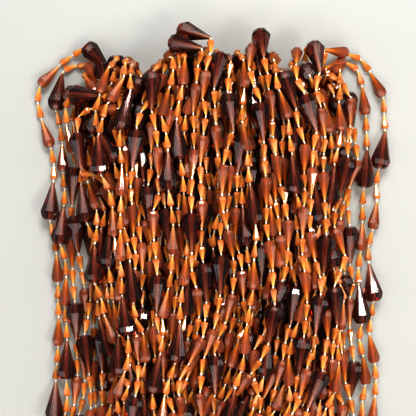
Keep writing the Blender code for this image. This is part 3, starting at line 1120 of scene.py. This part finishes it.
# %% Place the beads
rng = random.Random(SEED + 2)
made = []
bead_kinds = np.array(kinds)
for kind in BEADS:
    points, turns, sizes, tones = [], [], [], []
    for bead in np.flatnonzero(bead_kinds == kind):
        a, b = Vector(ends[2 * bead]), Vector(ends[2 * bead + 1])
        tip, base = (a, b) if tips[bead] else (b, a)
        points.append((a + b) / 2)
        turns.append(aimed(tip - base, rng))
        sizes.append((1, 1, 1))
        tones.append(rng.random())
    model = new_object("model_" + kind, bead_mesh(kind))
    made.append(place_pieces("beads_" + kind, model, points, turns, sizes, tones, ACRYLIC[kind]))
    model = new_object("model_bore_" + kind, bore_mesh(kind))
    made.append(place_pieces("bores_" + kind, model, points, turns, sizes, tones, FROSTED[kind]))

# %% [markdown]
# ## Strings
#
# Each string runs from the tape through all its beads and ends in a short tail.  A curve object could
# hold them, but a mesh of plain lines is quicker to fill, and a small tree makes it tubes.

# %% Strings
TAIL_LENGTH = 7 * MM                     # of string past the last bead
STRING_SIDES = 5


def strand_beads():
    """Each strand with the numbers of its first bead and of the next strand's."""
    first = 0
    for strand in strands:
        following = first + len(strand["kinds"])
        yield strand, first, following
        first = following


string_mesh = bpy.data.meshes.new("strings_lines")
verts, edges = [], []
for strand, first, following in strand_beads():
    chain = [tuple(strand["root"][0]), tuple(strand["root"][1])]
    chain += [tuple(p) for p in ends[2 * first:2 * following]]
    x, y, z = chain[-1]
    onwards = (Vector(chain[-1]) - Vector(chain[-2])).normalized() * TAIL_LENGTH
    chain.append((x + onwards.x, y + onwards.y, max(z + onwards.z, STRING_RADIUS)))
    edges += [(len(verts) + k, len(verts) + k + 1) for k in range(len(chain) - 1)]
    verts += chain
string_mesh.from_pydata(verts, edges, [])
strings = new_object("strings", string_mesh)


def tube_tree():
    tree = new_tree("string_on_lines", {"Radius": "Float", "Finish": "Material"})
    entry = add_node(tree, "NodeGroupInput")
    line = add_node(tree, "GeometryNodeMeshToCurve", inputs={"Mesh": entry.outputs["Geometry"]})
    ring = add_node(
        tree,
        "GeometryNodeCurvePrimitiveCircle",
        inputs={"Resolution": STRING_SIDES, "Radius": entry.outputs["Radius"]},
    )
    tube = add_node(
        tree,
        "GeometryNodeCurveToMesh",
        inputs={
            "Curve": line.outputs["Curve"],
            "Profile Curve": ring.outputs["Curve"],
            "Fill Caps": True,
        },
    )
    finish = add_node(
        tree,
        "GeometryNodeSetMaterial",
        inputs={"Geometry": tube.outputs["Mesh"], "Material": entry.outputs["Finish"]},
    )
    add_node(tree, "NodeGroupOutput", inputs={"Geometry": finish.outputs["Geometry"]})
    return tree


modifier = strings.modifiers.new("tube", "NODES")
modifier.node_group = tube_tree()
set_input(modifier, "Radius", STRING_RADIUS)
set_input(modifier, "Finish", COTTON)
realise(strings)
made.append(strings)
print("strings", len(strings.data.polygons), "faces")

# %% [markdown]
# ## Knots
#
# A knot after each bead keeps it in its place.  A tied knot could be swept along a curve, but there
# are five thousand, each about two millimetres long, and what shows is a white lump of two turns.  So
# one small lump of few faces is put on every gap, turned and squeezed a little differently each time.

# %% Knots
# Height and radius of the lump's rings: where the string is wound over itself, it bulges twice.
KNOT_RINGS = ((0.9, 0.45), (0.45, 1.0), (0.0, 0.72), (-0.45, 1.0), (-0.9, 0.45))
KNOT_SIDES = 4
# Least and most size of a knot across, deep and along the string, in millimetres.
KNOT_SIZES = ((1.2, 1.7), (0.9, 1.3), (1.2, 1.8))
knot_mesh = lathe("knot", KNOT_RINGS, KNOT_SIDES, caps=False)
knot_mesh.shade_smooth()
points, turns, sizes, tones = [], [], [], []
for strand, first, following in strand_beads():
    for bead in range(first, following):
        a = Vector(ends[2 * bead + 1])
        if bead == following - 1:
            b = a + (a - Vector(ends[2 * bead])).normalized() * TAIL_LENGTH / 2
        else:
            b = Vector(ends[2 * bead + 2])
        points.append((a + b) / 2)
        turns.append(aimed(b - a, rng))
        sizes.append(tuple(rng.uniform(least, most) * MM for least, most in KNOT_SIZES))
        tones.append(rng.random())
model = new_object("model_knot", knot_mesh)
made.append(place_pieces("knots", model, points, turns, sizes, tones, COTTON))

# %% [markdown]
# ## Heading tape
#
# The strands are sewn to a plain woven cotton tape, which was laid back and forth in three layers as
# the strands were gathered.  A cloth simulation could fold it, but pressed folds like these are plain
# geometry.  The tape's section is drawn once and swept along Y.  Distances along the cloth go into a
# UV map, so that the weave follows the folds.

# %% Heading tape
TAPE_BEND_STEPS = 8
TAPE_ROWS = 6
TAPE_CLOTH = 2.2 * MM           # a folded tape is two layers of cloth, pressed flat
PRESSED_EDGE = 0.4 * MM
SHARP_FROM = math.radians(50)   # corners sharper than this are pressed round


def tape_section():
    """The tape seen end on: three layers, back and forth, joined by two round bends."""
    radius = TAPE_LAYER_PITCH / 2
    z = TAPE_THICKNESS / 2
    section = [(TAPE_TURNS[0], z)]
    for turn, x in enumerate(TAPE_TURNS[1:-1]):
        outward = 1 if turn % 2 == 0 else -1
        for step in range(TAPE_BEND_STEPS + 1):
            angle = -math.pi / 2 + math.pi * step / TAPE_BEND_STEPS
            bend = outward * radius * math.cos(angle)
            section.append((x + bend, z + radius + radius * math.sin(angle)))
        z += TAPE_LAYER_PITCH
    section.append((TAPE_TURNS[-1], z))
    return section


section = tape_section()
travelled = [0.0]
for (xa, za), (xb, zb) in zip(section, section[1:]):
    travelled.append(travelled[-1] + math.hypot(xb - xa, zb - za))
tape_mesh = bpy.data.meshes.new("heading_tape")
verts = [
    (x, -HALF_LENGTH + TAPE_HEIGHT * row / TAPE_ROWS, z)
    for row in range(TAPE_ROWS + 1)
    for x, z in section
]
count = len(section)
faces = [
    (row * count + k, row * count + k + 1, (row + 1) * count + k + 1, (row + 1) * count + k)
    for row in range(TAPE_ROWS)
    for k in range(count - 1)
]
tape_mesh.from_pydata(verts, [], faces)
lay = tape_mesh.uv_layers.new(name="tape")
for loop in tape_mesh.loops:
    row, k = divmod(loop.vertex_index, count)
    lay.data[loop.index].uv = (travelled[k], TAPE_HEIGHT * row / TAPE_ROWS)
tape_mesh.materials.append(TAPE_COTTON)
tape_mesh.shade_smooth()
tape = new_object("heading_tape", tape_mesh)
thicken = tape.modifiers.new("cloth", "SOLIDIFY")
thicken.thickness = TAPE_CLOTH
thicken.offset = 0.0
thicken.use_even_offset = True
soften = tape.modifiers.new("pressed_edges", "BEVEL")
soften.width = PRESSED_EDGE
soften.segments = 2
soften.angle_limit = SHARP_FROM
made.append(tape)
print("heading tape", round(travelled[-1], 3), "m long")

# %% [markdown]
# ## Stitches
#
# Two rows of lock stitch run along the tape and hold the strands.  They could be part of the weave
# pattern, but a seam stands proud of the cloth, so each stitch is a small piece of thread, put on both
# faces of the tape by the same tree as the beads.

# %% Stitches
STITCH = 3.2 * MM               # from one stitch to the next
STITCH_SHARE = 0.8              # of that which shows as thread
THREAD = 0.6 * MM
SEAM_FROM_EDGE = 4 * MM
# One stitch along Z, as height and radius of its rings: its two ends are pulled into the cloth.
STITCH_RINGS = ((0.5, 0.2), (0.25, 0.5), (-0.25, 0.5), (-0.5, 0.2))
STITCH_SIDES = 5


def on_section(station):
    """Place across and up of the tape's section, at a distance along the cloth."""
    return [float(np.interp(station, travelled, [p[k] for p in section])) for k in (0, 1)]


points, turns, sizes, tones = [], [], [], []
for seam in (SEAM_FROM_EDGE, TAPE_HEIGHT - SEAM_FROM_EDGE):
    for station in np.arange(STITCH, travelled[-1] - STITCH, STITCH):
        x, z = on_section(station)
        xa, za = on_section(station + MM)
        ahead = Vector((xa - x, 0, za - z)).normalized()
        out = Vector((-ahead.z, 0, ahead.x)) * (TAPE_CLOTH / 2)
        for face in (out, -out):
            points.append(Vector((x, -HALF_LENGTH + seam, z)) + face)
            turns.append(tuple(ahead.to_track_quat("Z", "X")))
            sizes.append((THREAD, THREAD, STITCH_SHARE * STITCH))
            tones.append(rng.random())
model = new_object("model_stitch", lathe("stitch", STITCH_RINGS, STITCH_SIDES, caps=True))
made.append(place_pieces("tape_stitches", model, points, turns, sizes, tones, COTTON))

# %% [markdown]
# ## Floor, light and camera
#
# The curtain lies on a pale matt board in soft daylight from the far side.  A sky picture could light
# it, but large plain area lights are easier to place, and the facets show them as soft white panes.
# The camera looks straight down.

# %% Floor
FLOOR_SIZE = 12
FLOOR_GAP = 0.4 * MM            # keeps the board clear of the beads that rest on it
FLOOR_GRAIN = 2 * MM
PAINT_DARK, PAINT_LIGHT = "#8E8F8D", "#949592"


def floor_material():
    """Matt painted board that glows very faintly, so that shadows on it stay pale."""
    material, tree = new_material("matt_board_with_painted_glow")
    place = add_node(tree, "ShaderNodeTexCoord")
    grain = add_node(
        tree,
        "ShaderNodeTexNoise",
        inputs={"Vector": place.outputs["Object"], "Scale": 1 / FLOOR_GRAIN, "Detail": 3.0},
    )
    cloud = add_node(
        tree,
        "ShaderNodeTexNoise",
        inputs={"Vector": place.outputs["Object"], "Scale": 3.0, "Detail": 1.0},
    )
    paint = add_node(tree, "ShaderNodeValToRGB", inputs={"Fac": cloud.outputs["Fac"]})
    paint.color_ramp.elements[0].color = linear(PAINT_DARK)
    paint.color_ramp.elements[1].color = linear(PAINT_LIGHT)
    bump = add_node(
        tree,
        "ShaderNodeBump",
        inputs={"Height": grain.outputs["Fac"], "Strength": 0.15, "Distance": 0.1 * MM},
    )
    shader = add_node(
        tree,
        "ShaderNodeBsdfPrincipled",
        inputs={
            "Base Color": paint.outputs["Color"],
            "Normal": bump.outputs["Normal"],
            "Roughness": 0.6,
            # painted light: the board glows faintly, which keeps the shadows on it pale
            "Emission Color": linear("#F4F5EC"),
            "Emission Strength": 0.08,
        },
    )
    add_node(tree, "ShaderNodeOutputMaterial", inputs={"Surface": shader.outputs["BSDF"]})
    return material


bpy.ops.mesh.primitive_plane_add(size=FLOOR_SIZE, location=(0, 0, -FLOOR_GAP))
floor = bpy.context.object
floor.name = "floor"
floor.data.materials.append(floor_material())
print("floor:", FLOOR_SIZE, "m square")

# %% Light
WORLD_COLOUR, WORLD_STRENGTH = "#F4F2F0", 0.13
LIT_PLACE = (0, 0.3, 0)
LIGHTS = (
    # name, place, size, watts, colour
    ("window", (0.25, 1.55, 1.75), (0.9, 0.5), 23, "#FDFDFF"),
    ("far_wall", (-0.1, 1.95, 1.9), (2.4, 1.2), 28, "#FFFAF8"),
    ("near_wall", (0.1, -1.2, 1.7), (2.0, 1.0), 19, "#FFF8F4"),
    ("lamp", (1.1, -0.3, 1.5), (0.4, 0.4), 8, "#FFFCF6"),
    ("right_wall", (1.8, 0.3, 1.15), (1.6, 1.5), 17, "#FCFAFA"),
    ("left_wall", (-1.5, -0.2, 1.3), (1.2, 1.6), 12, "#F8FAFF"),
)
world = bpy.data.worlds.new("room")
bpy.context.scene.world = world
world.use_nodes = True
background = world.node_tree.nodes["Background"]
background.inputs["Color"].default_value = linear(WORLD_COLOUR)
background.inputs["Strength"].default_value = WORLD_STRENGTH
for name, place, size, power, colour in LIGHTS:
    data = bpy.data.lights.new(name, "AREA")
    data.shape = "RECTANGLE"
    data.size, data.size_y = size
    data.energy = power
    data.color = linear(colour)[:3]
    lamp = bpy.data.objects.new(name, data)
    lamp.location = place
    lamp.visible_camera = False
    lamp.rotation_euler = (Vector(LIT_PLACE) - Vector(place)).to_track_quat("-Z", "Y").to_euler()
    bpy.context.scene.collection.objects.link(lamp)
print(len(LIGHTS), "lights of", sum(light[3] for light in LIGHTS), "W in all")

# %% Camera
VIEW_WIDTH = 0.416              # metres across the picture, at mid height of the heap
CAMERA_HEIGHT = 1.3
SENSOR = 36                     # millimetres
view_middle = Vector((-0.0035, HALF_LENGTH - 0.168, 0.03))
camera_data = bpy.data.cameras.new("camera")
camera_data.sensor_width = SENSOR
camera_data.lens = SENSOR * (CAMERA_HEIGHT - view_middle.z) / VIEW_WIDTH
camera = bpy.data.objects.new("camera", camera_data)
camera.location = (view_middle.x, view_middle.y, CAMERA_HEIGHT)
bpy.context.scene.collection.objects.link(camera)
bpy.context.scene.camera = camera
view_settings = bpy.context.scene.view_settings
view_settings.view_transform = "Standard"
view_settings.look = "Very High Contrast"
view_settings.gamma = 0.92
print("camera: lens", round(camera_data.lens, 1), "mm")

# %% [markdown]
# ## Attaching the pieces
#
# Every piece is told what it moves with, and the plain solid of the curtain is hidden.

# %% Attaching the pieces
for piece in made:
    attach(piece, "root")
    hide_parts("curtain")
